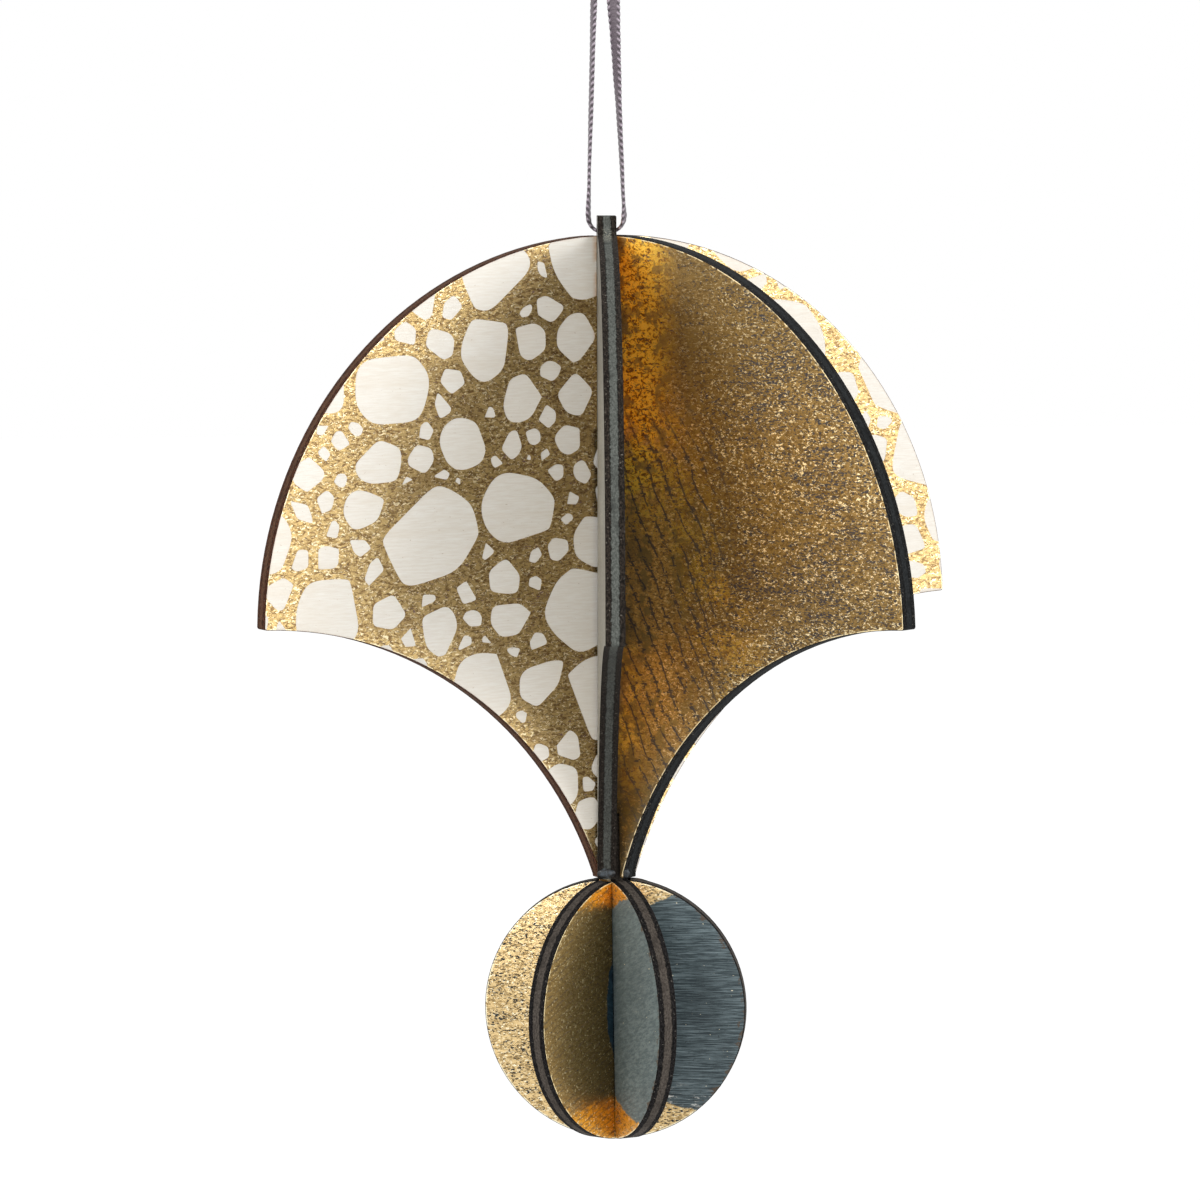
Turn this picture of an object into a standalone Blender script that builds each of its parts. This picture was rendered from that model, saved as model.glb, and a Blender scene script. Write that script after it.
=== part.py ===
"""Hanging wooden bauble: three slotted fan plates over a ball of three slotted discs, on a cord.

The origin is the hanging point, where a hook bears on the cord under its knot. Z points up.
The two halves of the cord run down to a tab on the cap plate, which carries everything else.
"""
from math import acos, atan2, ceil, cos, hypot, pi, radians, sin, sqrt, tan

import bmesh
import bpy
from mathutils import Vector

# Boards, and the gap between a board and what crosses it or seats on it
BOARD = 0.0030
FIT = 0.0003
CHORD_ERROR = 0.000012

# Fan plates: a round top, a hollow sweep under each wing, and wing tips round a socket
FAN_RADIUS = 0.0612
SWEEP_RADIUS = 0.0631
SWEEP_REACH = 0.0629
SWEEP_DROP = 0.0618
CORNER_ROUND = 0.0004
NECK_DROP = 0.0419
SOCKET_DEPTH = 0.0104
TIP_WALL = 0.0006
TIP_LAND = 0.0004
TIP_ROUND = 0.0002

# Headings of the boards round the upright axis, in degrees from X, and how far the cap plate
# leans from that axis in its loose slots, about the cord's bore
CAP_HEADING = 91.0
CAP_LEAN = 0.7
PEBBLE_HEADING = 27.2
BRONZE_HEADING = -42.2
STUB_HEADING = -67.2
DISC_STEP = 60.0

# Tab of the cap plate
TAB_WIDTH = 0.0084
TAB_RISE = 0.0030
TAB_ROUND = 0.0005
TAB_FOOT = 0.0020
CORD_HOLE_RADIUS = 0.0016
CORD_HOLE_SIDES = 32

# Ball
BALL_RADIUS = 0.0211
STUB_WIDTH = 0.0041
STUB_ROUND = 0.0004

# Cord and its knot
CORD_DROP = 0.0414
CORD_DIAMETER = 0.0012
CORD_STEP = 0.0015
CORD_BEVEL_RESOLUTION = 2
KNOT_WIDTH = 0.0046
KNOT_HEIGHT = 0.0042
KNOT_SIDES = 24
KNOT_PROFILE = [
    (0.0, 1.00),
    (0.40, 0.99),
    (0.72, 0.92),
    (0.92, 0.78),
    (0.92, 0.62),
    (0.82, 0.50),
    (0.94, 0.38),
    (1.00, 0.24),
    (0.96, 0.10),
    (0.86, 0.0),
    (0.0, 0.0),
]
TAIL_LENGTH = 0.0080
TAIL_SPREAD = 0.0016
TAIL_BOW = 0.0004
TAIL_SINK = 0.0010

# Heights on the axis, worked out from the sizes above
FAN_Z = -CORD_DROP - FAN_RADIUS
NECK_DEPTH = FAN_RADIUS + NECK_DROP
SOCKET_TOP = SOCKET_DEPTH - NECK_DROP
TIER = (FAN_RADIUS - SOCKET_TOP) / 3
CAP_TIER_END = FAN_RADIUS - TIER
PEBBLE_TIER_END = CAP_TIER_END - TIER
BALL_Z = FAN_Z - NECK_DROP - FIT - BALL_RADIUS
BALL_TIER = 2 * BALL_RADIUS / 3
STUB_TOP = FAN_Z + SOCKET_TOP - FIT - BALL_Z

# The right half of the cord's route, as (x, height above the middle of the cord hole)
CORD_ROUTE = [
    (0.0, 0.00048),
    (0.0008, 0.0005),
    (0.0016, 0.0007),
    (0.0023, 0.00125),
    (0.0027, 0.0020),
    (0.00285, 0.0030),
    (0.00282, 0.0045),
    (0.00268, 0.0075),
    (0.0026, 0.0105),
    (0.00238, 0.0160),
    (0.00206, 0.0240),
    (0.0018, 0.0310),
    (0.00155, 0.0370),
    (0.00135, CORD_DROP),
]

# Base colour, roughness and metallic value of each piece
LOOKS = {
    "cap_plate": ((0.24, 0.27, 0.27), 0.55, 0.0),
    "pebble_plate": ((0.82, 0.74, 0.58), 0.50, 0.1),
    "bronze_plate": ((0.30, 0.19, 0.06), 0.45, 0.4),
    "ball_stub_disc": ((0.22, 0.26, 0.26), 0.55, 0.0),
    "ball_middle_disc": ((0.45, 0.36, 0.18), 0.45, 0.3),
    "ball_lower_disc": ((0.26, 0.20, 0.09), 0.50, 0.3),
    "cord_loop": ((0.19, 0.16, 0.19), 0.75, 0.0),
    "cord_knot": ((0.19, 0.16, 0.19), 0.75, 0.0),
}


def clear_scene():
    for thing in list(bpy.context.scene.objects):
        bpy.data.objects.remove(thing, do_unlink=True)


def finish(name):
    """The plain material of a piece."""
    colour, roughness, metallic = LOOKS[name]
    material = bpy.data.materials.new(name)
    material.use_nodes = True
    shader = material.node_tree.nodes["Principled BSDF"]
    shader.inputs["Base Color"].default_value = (*colour, 1.0)
    shader.inputs["Roughness"].default_value = roughness
    shader.inputs["Metallic"].default_value = metallic
    return material


def add_object(name, data, parent, location=(0, 0, 0), heading=0.0):
    """A named object under its parent, turned to its heading."""
    thing = bpy.data.objects.new(name, data)
    thing.location = location
    thing.rotation_euler = (0, 0, radians(heading))
    thing.parent = parent
    bpy.context.collection.objects.link(thing)
    return thing


def add_cutter(name, data, parent, location=(0, 0, 0)):
    """An object that only shapes another one."""
    cutter = add_object(name, data, parent, location)
    cutter.hide_render = True
    cutter.display_type = "WIRE"
    return cutter


def combine(thing, other, operation):
    boolean = thing.modifiers.new(operation.lower(), "BOOLEAN")
    boolean.operation = operation
    boolean.solver = "EXACT"
    boolean.object = other


# Outlines: points are (distance from the axis, height) in a board's own plane

def arc(centre, radius, start, end):
    """Points along an arc from the start angle to the end angle, within the chord error."""
    largest = 2 * acos(1 - min(CHORD_ERROR / radius, 0.1))
    steps = max(3, ceil(abs(end - start) / largest))
    angles = [start + (end - start) * i / steps for i in range(steps + 1)]
    return [(centre[0] + radius * cos(a), centre[1] + radius * sin(a)) for a in angles]


def round_corner(before, corner, after, radius):
    """An arc that rounds a square corner between two neighbouring points."""
    to_before = (Vector(before) - Vector(corner)).normalized()
    to_after = (Vector(after) - Vector(corner)).normalized()
    centre = Vector(corner) + radius * (to_before + to_after)
    start = atan2(-to_after.y, -to_after.x)
    end = atan2(-to_before.y, -to_before.x)
    turn = (end - start + pi) % (2 * pi) - pi
    return arc(centre, radius, start, start + turn)


def circles_meet(radius, other_centre, other_radius):
    """The upper outer point where a circle round the outline's origin meets another circle."""
    span = hypot(*other_centre)
    along = (radius ** 2 - other_radius ** 2 + span ** 2) / (2 * span)
    aside = sqrt(radius ** 2 - along ** 2)
    unit_u, unit_z = other_centre[0] / span, other_centre[1] / span
    return unit_u * along - unit_z * aside, unit_z * along + unit_u * aside


def clear_half(angle):
    """Half the width of a slot that clears a board crossing at this angle."""
    sharp = abs(angle) % 180
    return BOARD / 2 / tan(radians(min(sharp, 180 - sharp)) / 2) + FIT


def crossing_shift(heading, other, depth):
    """How far along a board its crossing with another moves as the cap plate leans.

    The depth is below the cord's bore. Boards that both hang true cross on the axis.
    """
    if CAP_HEADING not in (heading, other):
        return 0.0
    shift = depth * sin(radians(CAP_LEAN)) * sin(radians(other)) / sin(radians(heading - other))
    return shift if other == CAP_HEADING else -shift


def slot_wall(side, heading, others, depths=(0.0,)):
    """How far from the axis a slot's wall clears the boards that cross it between these depths."""
    walls = [clear_half(heading - o) + side * crossing_shift(heading, o, d) for o in others for d in depths]
    return max(walls)


def stub_half(heading):
    """Half the width of a socket that clears the ball's stub, in a board at this heading."""
    angle = radians(heading - STUB_HEADING)
    return STUB_WIDTH / 2 * abs(cos(angle)) + BOARD / 2 * abs(sin(angle)) + FIT


def board_mesh(name, left, right):
    """A board from the two halves of its outline, each from top to bottom."""
    outline = right + [(-u, z) for u, z in reversed(left) if u > 0]
    mesh = bpy.data.meshes.new(name)
    work = bmesh.new()
    face = work.faces.new([work.verts.new((u, -BOARD / 2, z)) for u, z in outline])
    grown = bmesh.ops.extrude_face_region(work, geom=[face])["geom"]
    far_side = [part for part in grown if isinstance(part, bmesh.types.BMVert)]
    bmesh.ops.translate(work, verts=far_side, vec=(0, BOARD, 0))
    bmesh.ops.recalc_face_normals(work, faces=work.faces)
    work.to_mesh(mesh)
    work.free()
    mesh.shade_smooth()
    mesh.set_sharp_from_angle(angle=radians(30))
    mesh.materials.append(finish(name))
    return mesh


# Fan plates

def tab_top():
    """Half of the tab, from its rounded corner to its hollow foot, and where the foot ends."""
    half = TAB_WIDTH / 2
    top = FAN_RADIUS + TAB_RISE
    foot_u = half + TAB_FOOT
    foot_z = sqrt((FAN_RADIUS + TAB_FOOT) ** 2 - foot_u ** 2)
    foot_angle = atan2(foot_z, foot_u)
    points = round_corner((0, top), (half, top), (half, foot_z), TAB_ROUND)
    points += arc((foot_u, foot_z), TAB_FOOT, pi, pi + foot_angle)
    return points, foot_angle


def slot_top(half, floor):
    """Half of a slot cut down from the round top, and where its wall meets the round top."""
    return [(half, floor)], acos(half / FAN_RADIUS)


def fan_edge(start):
    """The round top from the start angle down to the rounded corner, and the sweep's start."""
    sweep_centre = (SWEEP_REACH, -SWEEP_DROP)
    corner = circles_meet(FAN_RADIUS - CORNER_ROUND, sweep_centre, SWEEP_RADIUS + CORNER_ROUND)
    fan_end = atan2(corner[1], corner[0])
    sweep_start = atan2(corner[1] + SWEEP_DROP, corner[0] - SWEEP_REACH)
    points = arc((0, 0), FAN_RADIUS, start, fan_end)
    points += arc(corner, CORNER_ROUND, fan_end, sweep_start - pi)[1:]
    return points, sweep_start


def sweep_edge(start, socket_half):
    """The hollow sweep from the corner down to the wing tip beside the socket."""
    rise = SWEEP_DROP - NECK_DROP + TIP_LAND
    natural = SWEEP_REACH - sqrt(SWEEP_RADIUS ** 2 - rise ** 2)
    outer = max(natural, socket_half + TIP_WALL)
    end = pi - acos((SWEEP_REACH - outer) / SWEEP_RADIUS)
    points = arc((SWEEP_REACH, -SWEEP_DROP), SWEEP_RADIUS, start, end)[1:]
    points += round_corner(points[-1], (outer, -NECK_DROP), (socket_half, -NECK_DROP), TIP_ROUND)
    points += round_corner((outer, -NECK_DROP), (socket_half, -NECK_DROP), (socket_half, 0), TIP_ROUND)
    return points


def fan_half(top, socket_half, slot_end):
    """Half a plate's outline: its top, round edge and sweep, and the slot cut up from its neck."""
    top_points, start = top
    edge, sweep_start = fan_edge(start)
    return top_points + edge + sweep_edge(sweep_start, socket_half) + [(socket_half, slot_end)]


def fan_plate(name, heading, halves, parent):
    place = (0, 0, FAN_Z + CORD_DROP)
    return add_object(name, board_mesh(name, *halves), parent, place, heading)


def cap_half(side):
    crossed = slot_wall(side, CAP_HEADING, (PEBBLE_HEADING, BRONZE_HEADING), (TIER, NECK_DEPTH))
    return fan_half(tab_top(), max(crossed, stub_half(CAP_HEADING)), CAP_TIER_END + FIT / 2)


def pebble_half(side):
    top = slot_top(slot_wall(side, PEBBLE_HEADING, (CAP_HEADING,), (0.0, TIER)), CAP_TIER_END - FIT / 2)
    crossed = slot_wall(side, PEBBLE_HEADING, (BRONZE_HEADING,))
    return fan_half(top, max(crossed, stub_half(PEBBLE_HEADING)), PEBBLE_TIER_END + FIT / 2)


def bronze_half(side):
    crossed = slot_wall(side, BRONZE_HEADING, (PEBBLE_HEADING,))
    slot = max(crossed, slot_wall(side, BRONZE_HEADING, (CAP_HEADING,), (0.0, TIER)))
    top = slot_top(slot, PEBBLE_TIER_END - FIT / 2)
    return fan_half(top, max(crossed, stub_half(BRONZE_HEADING)), SOCKET_TOP)


def fan(pivot):
    """Three plates, each whole in one tier of the axis and slotted where another is whole."""
    lean = add_object("cap_lean", None, pivot)
    lean.rotation_euler = (0, radians(CAP_LEAN), 0)
    cap = fan_plate("cap_plate", CAP_HEADING, [cap_half(side) for side in (-1, 1)], lean)
    combine(cap, cord_hole(lean), "DIFFERENCE")
    fan_plate("pebble_plate", PEBBLE_HEADING, [pebble_half(side) for side in (-1, 1)], pivot)
    fan_plate("bronze_plate", BRONZE_HEADING, [bronze_half(side) for side in (-1, 1)], pivot)


def cord_hole(parent):
    """The bore across the tab, where the plates rock on the cord."""
    mesh = bpy.data.meshes.new("cord_hole")
    work = bmesh.new()
    bmesh.ops.create_cone(
        work,
        cap_ends=True,
        segments=CORD_HOLE_SIDES,
        radius1=CORD_HOLE_RADIUS,
        radius2=CORD_HOLE_RADIUS,
        depth=3 * BOARD,
    )
    work.to_mesh(mesh)
    work.free()
    mesh.shade_smooth()
    cutter = add_cutter("cord_hole", mesh, parent)
    cutter.rotation_euler = (0, pi / 2, 0)
    return cutter


# Ball

def disc(name, heading, top, bottom, parent):
    """A disc of the ball, with its top points, its rim and its bottom points."""
    rim = arc((0, 0), BALL_RADIUS, top[1], bottom[1])
    half = top[0] + rim + bottom[0]
    place = (0, 0, BALL_Z + CORD_DROP)
    add_object(name, board_mesh(name, half, half), parent, place, heading)


def ball(pivot):
    """Three discs slotted over each other, the first with the stub that fills the socket."""
    slot = clear_half(DISC_STEP)
    slot_angle = acos(slot / BALL_RADIUS)
    stub = STUB_WIDTH / 2
    stub_points = round_corner((0, STUB_TOP), (stub, STUB_TOP), (stub, 0), STUB_ROUND)
    upper_end = BALL_RADIUS - BALL_TIER
    lower_end = upper_end - BALL_TIER
    plain_bottom = ([], -pi / 2)
    disc(
        "ball_stub_disc",
        STUB_HEADING,
        (stub_points, acos(stub / BALL_RADIUS)),
        ([(slot, upper_end + FIT / 2)], -slot_angle),
        pivot,
    )
    disc(
        "ball_middle_disc",
        STUB_HEADING + DISC_STEP,
        ([(slot, upper_end - FIT / 2)], slot_angle),
        ([(slot, lower_end + FIT / 2)], -slot_angle),
        pivot,
    )
    disc(
        "ball_lower_disc",
        STUB_HEADING - DISC_STEP,
        ([(slot, lower_end - FIT / 2)], slot_angle),
        plain_bottom,
        pivot,
    )


# Cord

def smooth_route(points, step):
    """Points a step apart along the smooth curve through the route's own points."""
    curve = []
    for i in range(len(points) - 1):
        before = points[max(i - 1, 0)]
        start, end = points[i], points[i + 1]
        after = points[min(i + 2, len(points) - 1)]
        samples = max(2, ceil((end - start).length / step * 4))
        for k in range(samples):
            t = k / samples
            bend = (end - before) * t + (2 * before - 5 * start + 4 * end - after) * t ** 2
            bend += (3 * start - before - 3 * end + after) * t ** 3
            curve.append(start + bend / 2)
    curve.append(points[-1])
    lengths = [0.0]
    for a, b in zip(curve, curve[1:]):
        lengths.append(lengths[-1] + (b - a).length)
    count = ceil(lengths[-1] / step)
    route = []
    at = 0
    for k in range(count + 1):
        target = lengths[-1] * k / count
        while at < len(curve) - 2 and lengths[at + 1] < target:
            at += 1
        part = (target - lengths[at]) / (lengths[at + 1] - lengths[at])
        route.append(curve[at].lerp(curve[at + 1], part))
    return route


def tube(name, route, radius):
    """A closed tube along the route."""
    curve = bpy.data.curves.new(name, "CURVE")
    curve.dimensions = "3D"
    curve.bevel_depth = radius
    curve.bevel_resolution = CORD_BEVEL_RESOLUTION
    curve.use_fill_caps = True
    spline = curve.splines.new("POLY")
    spline.points.add(len(route) - 1)
    for point, place in zip(spline.points, route):
        point.co = (*place, 1.0)
    return curve


def cord_loop(turn):
    """One length of cord: down from the knot, across through the tab and up to the knot."""
    right = [Vector((x, 0, z - CORD_DROP)) for x, z in CORD_ROUTE]
    left = [Vector((-point.x, 0, point.z)) for point in reversed(right[1:])]
    curve = tube("cord_loop", smooth_route(left + right, CORD_STEP), CORD_DIAMETER / 2)
    curve.materials.append(finish("cord_loop"))
    add_object("cord_loop", curve, turn)


def tail_mesh(name, side):
    """One end of the cord, standing up out of the knot and leaning aside."""
    aside = (CORD_DIAMETER + FIT) / 2
    foot = Vector((side * aside, 0, -TAIL_SINK))
    tip = Vector((side * (aside + TAIL_SPREAD), 0, TAIL_LENGTH))
    middle = foot.lerp(tip, 0.5) - Vector((side * TAIL_BOW, 0, 0))
    curve = tube(name, smooth_route([foot, middle, tip], CORD_STEP), CORD_DIAMETER / 2)
    holder = bpy.data.objects.new(name, curve)
    mesh = bpy.data.meshes.new_from_object(holder)
    bpy.data.objects.remove(holder)
    return mesh


def cord_knot():
    """The knot that joins the cord's two ends, a turned body with a waist, and its two tails.

    The profile's points are shares of the knot's radius and height, from its top to its foot.
    """
    radius = KNOT_WIDTH / 2
    mesh = bpy.data.meshes.new("cord_knot")
    work = bmesh.new()
    ring = [work.verts.new((r * radius, 0, z * KNOT_HEIGHT)) for r, z in KNOT_PROFILE]
    edges = [work.edges.new(pair) for pair in zip(ring, ring[1:])]
    bmesh.ops.spin(
        work,
        geom=ring + edges,
        cent=(0, 0, 0),
        axis=(0, 0, 1),
        angle=2 * pi,
        steps=KNOT_SIDES,
        use_merge=True,
    )
    bmesh.ops.remove_doubles(work, verts=work.verts, dist=CHORD_ERROR)
    bmesh.ops.recalc_face_normals(work, faces=work.faces)
    work.to_mesh(mesh)
    work.free()
    mesh.shade_smooth()
    mesh.materials.append(finish("cord_knot"))
    knot = add_object("cord_knot", mesh, None, (0, 0, FIT))
    for name, side in (("left_tail", -1), ("right_tail", 1)):
        tail = add_cutter(name, tail_mesh(name, side), knot, (0, 0, KNOT_HEIGHT))
        combine(knot, tail, "UNION")


def main():
    clear_scene()
    turn = add_object("cord_turn", None, None)
    pivot = add_object("tab_pivot", None, turn, (0, 0, -CORD_DROP))
    fan(pivot)
    ball(pivot)
    cord_loop(turn)
    cord_knot()


main()
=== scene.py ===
"""Looks of the hanging wooden bauble: painted and gilded plywood boards on a flat braided cord.

Lengths are metres in the frame's own axes: the hanging point is the origin and Z points up.
Inside a material, places are in millimetres: x along the board, y through it and z up its axis.
"""
import math
import random

import bmesh
import bpy
from mathutils import Matrix, Vector, noise
from mathutils.geometry import delaunay_2d_cdt


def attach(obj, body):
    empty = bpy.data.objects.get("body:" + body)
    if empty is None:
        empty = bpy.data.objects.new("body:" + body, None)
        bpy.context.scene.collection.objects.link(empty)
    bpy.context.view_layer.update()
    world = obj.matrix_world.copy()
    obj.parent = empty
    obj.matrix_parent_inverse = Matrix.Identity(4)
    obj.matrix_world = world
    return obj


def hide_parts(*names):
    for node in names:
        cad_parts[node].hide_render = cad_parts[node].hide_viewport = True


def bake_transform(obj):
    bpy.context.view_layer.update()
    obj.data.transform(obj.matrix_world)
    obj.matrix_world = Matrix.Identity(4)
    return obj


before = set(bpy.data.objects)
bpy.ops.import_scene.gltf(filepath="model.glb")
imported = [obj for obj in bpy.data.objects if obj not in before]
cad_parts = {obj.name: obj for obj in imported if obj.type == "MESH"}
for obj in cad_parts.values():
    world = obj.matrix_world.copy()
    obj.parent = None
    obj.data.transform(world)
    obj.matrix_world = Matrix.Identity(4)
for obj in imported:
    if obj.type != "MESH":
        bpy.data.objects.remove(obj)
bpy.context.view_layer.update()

MM = 0.001

# Boards, as in the frame
BOARD = 3.0 * MM
FAN_RADIUS = 61.2 * MM
SWEEP_RADIUS = 63.1 * MM
SWEEP_REACH = 62.9 * MM
SWEEP_DROP = 61.8 * MM
BALL_RADIUS = 21.1 * MM
CORD_DROP = 41.4 * MM
FAN_Z = -CORD_DROP - FAN_RADIUS
BALL_Z = -165.9 * MM
CAP_HEADING = 91.0
CAP_LEAN = 0.7
PEBBLE_HEADING = 27.2
BRONZE_HEADING = -42.2
STUB_HEADING = -67.2
DISC_STEP = 60.0
EDGE_BEVEL = 0.10 * MM
SLOT_FIT = 0.3 * MM
SLOT_CLOSE = 0.27 * MM
SLOT_WALL_AREA = 10 * MM ** 2
MERGE_DISTANCE = 0.002 * MM
FLAT_ANGLE = math.radians(0.5)
SHARP_ANGLE = math.radians(30)
SHADE_ANGLE = math.radians(40)
# How much of a face's normal lies along an axis where it is square to it, and where it is nearly so
SQUARE_ON = 0.99
FACE_ON = 0.9
# A board's material slots
FRONT, BACK, EDGE = 0, 1, 2

# Print on the pale plate, in millimetres but for the foil; a chip has its reach and its number of tries
FOIL = 0.03 * MM
PRINT_LEFT, PRINT_RIGHT = -64, 64
PRINT_LOW, PRINT_HIGH = -44, 64
PRINT_LINE = 1.25
CHIPS = ((8.6, 16), (6.0, 70), (4.1, 340), (2.8, 1100), (1.9, 2400), (1.2, 3600))
CHIP_SPACING = 0.93
CHIP_GAP = 0.45
# The share of the small chips that is left out, and how small those are
SKIPPED_SHARE = 0.10
SKIPPED_BELOW = 4
# How far a chip's corner is eased, as a share of its reach and at most of a side, and in how many steps
CORNER_EASE = 0.30
CORNER_LIMIT = 0.48
CORNER_STEPS = 4

# Camera: its place and its turn about X, Y and Z, from the photograph's perspective
CAMERA_PLACE = (-0.0037, -0.8228, -0.0254)
CAMERA_TURN = (84.83, 0.70, -0.20)
CAMERA_LENS = 154.56
CAMERA_SENSOR = 36.0

# Stage: a lamp has its place, size and power
FLOOR_Z = -0.42
FLOOR_GLOW = 1.12
FLOOR_SEEN = 0.86
SKY_FILL = 0.55
LAMPS = {
    "key_lamp": ((-0.75, -0.85, 0.55), 0.7, 9.0),
    "fill_lamp": ((0.95, -0.75, 0.15), 0.8, 7.5),
    "top_lamp": ((0.05, 0.05, 0.95), 0.6, 2.0),
}

# Cord: a flat braid that twists on its way up to the knot
BRAID_WIDTH = 2.0 * MM
BRAID_THICKNESS = 0.50 * MM
BRAID_PITCH = 1.03 * MM
BRAID_STEP = 0.13 * MM
BRAID_SIDES = 28
BRAID_RELIEF = 0.075 * MM
KNOT_HEIGHT = 4.2 * MM
KNOT_STEP = 0.16 * MM
WRAP_RADIUS = 1.42 * MM
WRAP_TURNS = 2.35
WRAP_POINTS = 70
WRAP_WIDTH, WRAP_THICKNESS = 1.55 * MM, 0.95 * MM
END_WIDTH, END_THICKNESS = 1.85 * MM, 0.46 * MM
# One strand's route, as its distance from the axis and its height above the middle of the cord hole
CORD_ROUTE = [
    (0.0, 0.00048),
    (0.0008, 0.0005),
    (0.0016, 0.0007),
    (0.0023, 0.00125),
    (0.0027, 0.0020),
    (0.00285, 0.0030),
    (0.00282, 0.0045),
    (0.00268, 0.0075),
    (0.0026, 0.0105),
    (0.00238, 0.0160),
    (0.00206, 0.0240),
    (0.0018, 0.0310),
    (0.00155, 0.0370),
    (0.00135, CORD_DROP),
]
# Where the cord bears on the tab, in millimetres above the middle of the cord hole
CORD_SEAT = 0.48
# Height above that place in millimetres, and how far the braid's width is turned out of Y there
RIGHT_TWIST = [
    (0, 0), (2.4, -17), (5.3, 4), (13.2, 12), (18.9, 20), (26.3, 37), (31.3, 50), (37.4, 85), (41.4, 92)
]
LEFT_TWIST = [(0, 0), (2.4, 15), (9.1, 0), (13.2, -6), (18.9, -13), (27.7, -16), (37.4, -26), (41.4, -30)]

# Leaf: its dark, middle and bright tones; the bright tone is painted glints, and the dark tone is partly
# painted reflection
GOLD = ((0.25, 0.155, 0.065), (0.62, 0.44, 0.19), (1.0, 0.86, 0.56))
# The middle disc's leaf, painted lighter for how brightly it is lit
LIT_GOLD = ((0.36, 0.24, 0.100), (0.80, 0.59, 0.29), (1.0, 0.90, 0.64))
# The bronze plate's leaf, painted darker for the dark it reflects
SHADED_BRONZE = ((0.150, 0.086, 0.024), (0.325, 0.205, 0.066), (1.0, 0.83, 0.50))
# The lower disc's leaf, painted darker for the shade it is in and the dark it reflects
SHADED_OLIVE = ((0.235, 0.148, 0.050), (0.340, 0.222, 0.080), (1.0, 0.82, 0.46))
# Paint: its base, light and dark tones; the discs' blues are one paint, in copies painted darker for the
# shade the middle and lower discs are in
BLUE = ((0.105, 0.135, 0.135), (0.165, 0.200, 0.195), (0.070, 0.092, 0.096))
# The middle disc's blue, painted darker for its shade
SHADED_BLUE = ((0.029, 0.045, 0.051), (0.155, 0.202, 0.216), (0.010, 0.017, 0.021))
# The lower disc's blue, painted darker still for its shade
DEEPER_SHADED_BLUE = ((0.010, 0.030, 0.046), (0.026, 0.062, 0.088), (0.005, 0.014, 0.022))
WARM_GREY = ((0.235, 0.222, 0.188), (0.315, 0.298, 0.252), (0.165, 0.162, 0.145))
# Single colours: the painted orange reflection on the leaf and its painted highlight, the paint under the
# leaf, and burnt and worn wood
ORANGE = (0.80, 0.345, 0.012)
ORANGE_HIGHLIGHT = (1.0, 0.61, 0.065)
NIGHT = (0.036, 0.029, 0.030)
RED_BROWN = (0.20, 0.115, 0.100)
CHAR = (0.030, 0.019, 0.013)
WORN_WOOD = (0.080, 0.050, 0.028)


def add_object(name, data):
    thing = bpy.data.objects.new(name, data)
    bpy.context.scene.collection.objects.link(thing)
    return thing


def mesh_object(name, verts, faces):
    mesh = bpy.data.meshes.new(name)
    mesh.from_pydata([tuple(v) for v in verts], [], faces)
    mesh.update()
    return add_object(name, mesh)


# Camera

def add_camera():
    data = bpy.data.cameras.new("camera")
    data.lens = CAMERA_LENS
    data.sensor_width = CAMERA_SENSOR
    data.clip_start = 0.01
    data.clip_end = 20.0
    camera = add_object("camera", data)
    camera.location = CAMERA_PLACE
    camera.rotation_euler = [math.radians(a) for a in CAMERA_TURN]
    bpy.context.scene.camera = camera


# Node materials

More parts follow.
